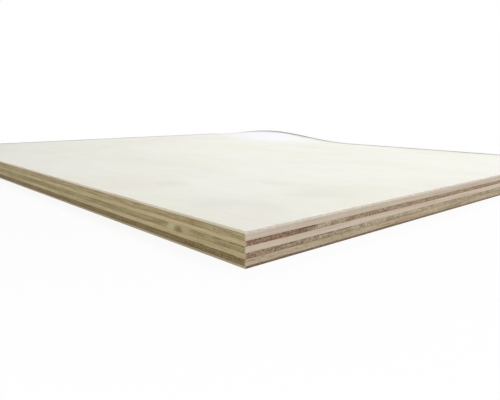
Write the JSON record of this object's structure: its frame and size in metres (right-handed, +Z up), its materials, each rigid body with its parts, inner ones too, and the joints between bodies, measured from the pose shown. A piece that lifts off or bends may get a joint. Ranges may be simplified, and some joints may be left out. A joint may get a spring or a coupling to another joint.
{
  "type": "plywood sheet",
  "caption": "Rectangular sheet of cross-laminated plywood with a pale face veneer and banded cut edges, lying flat, one long edge slightly warped.",
  "frame": {"origin": "centre of the sheet's plan, on the floor under its back veneer", "axes": "+X across the sheet, towards the edge that has warped; +Y along the grain of its face veneer, towards the end nearer the warp; +Z up, from back veneer to face veneer"},
  "size_m": [0.45, 0.6, 0.03],
  "materials": {
    "face_veneer_wood": "matte",
    "crossband_wood": "matte",
    "core_wood": "matte",
    "back_veneer_wood": "matte"
  },
  "bodies": {
    "root": {"back_veneer": "back_veneer_wood", "crossband_lower": "crossband_wood", "core_lower": "core_wood", "crossband_middle": "crossband_wood", "core_upper": "core_wood", "crossband_upper": "crossband_wood", "face_veneer": "face_veneer_wood"}
  },
  "joints": []
}
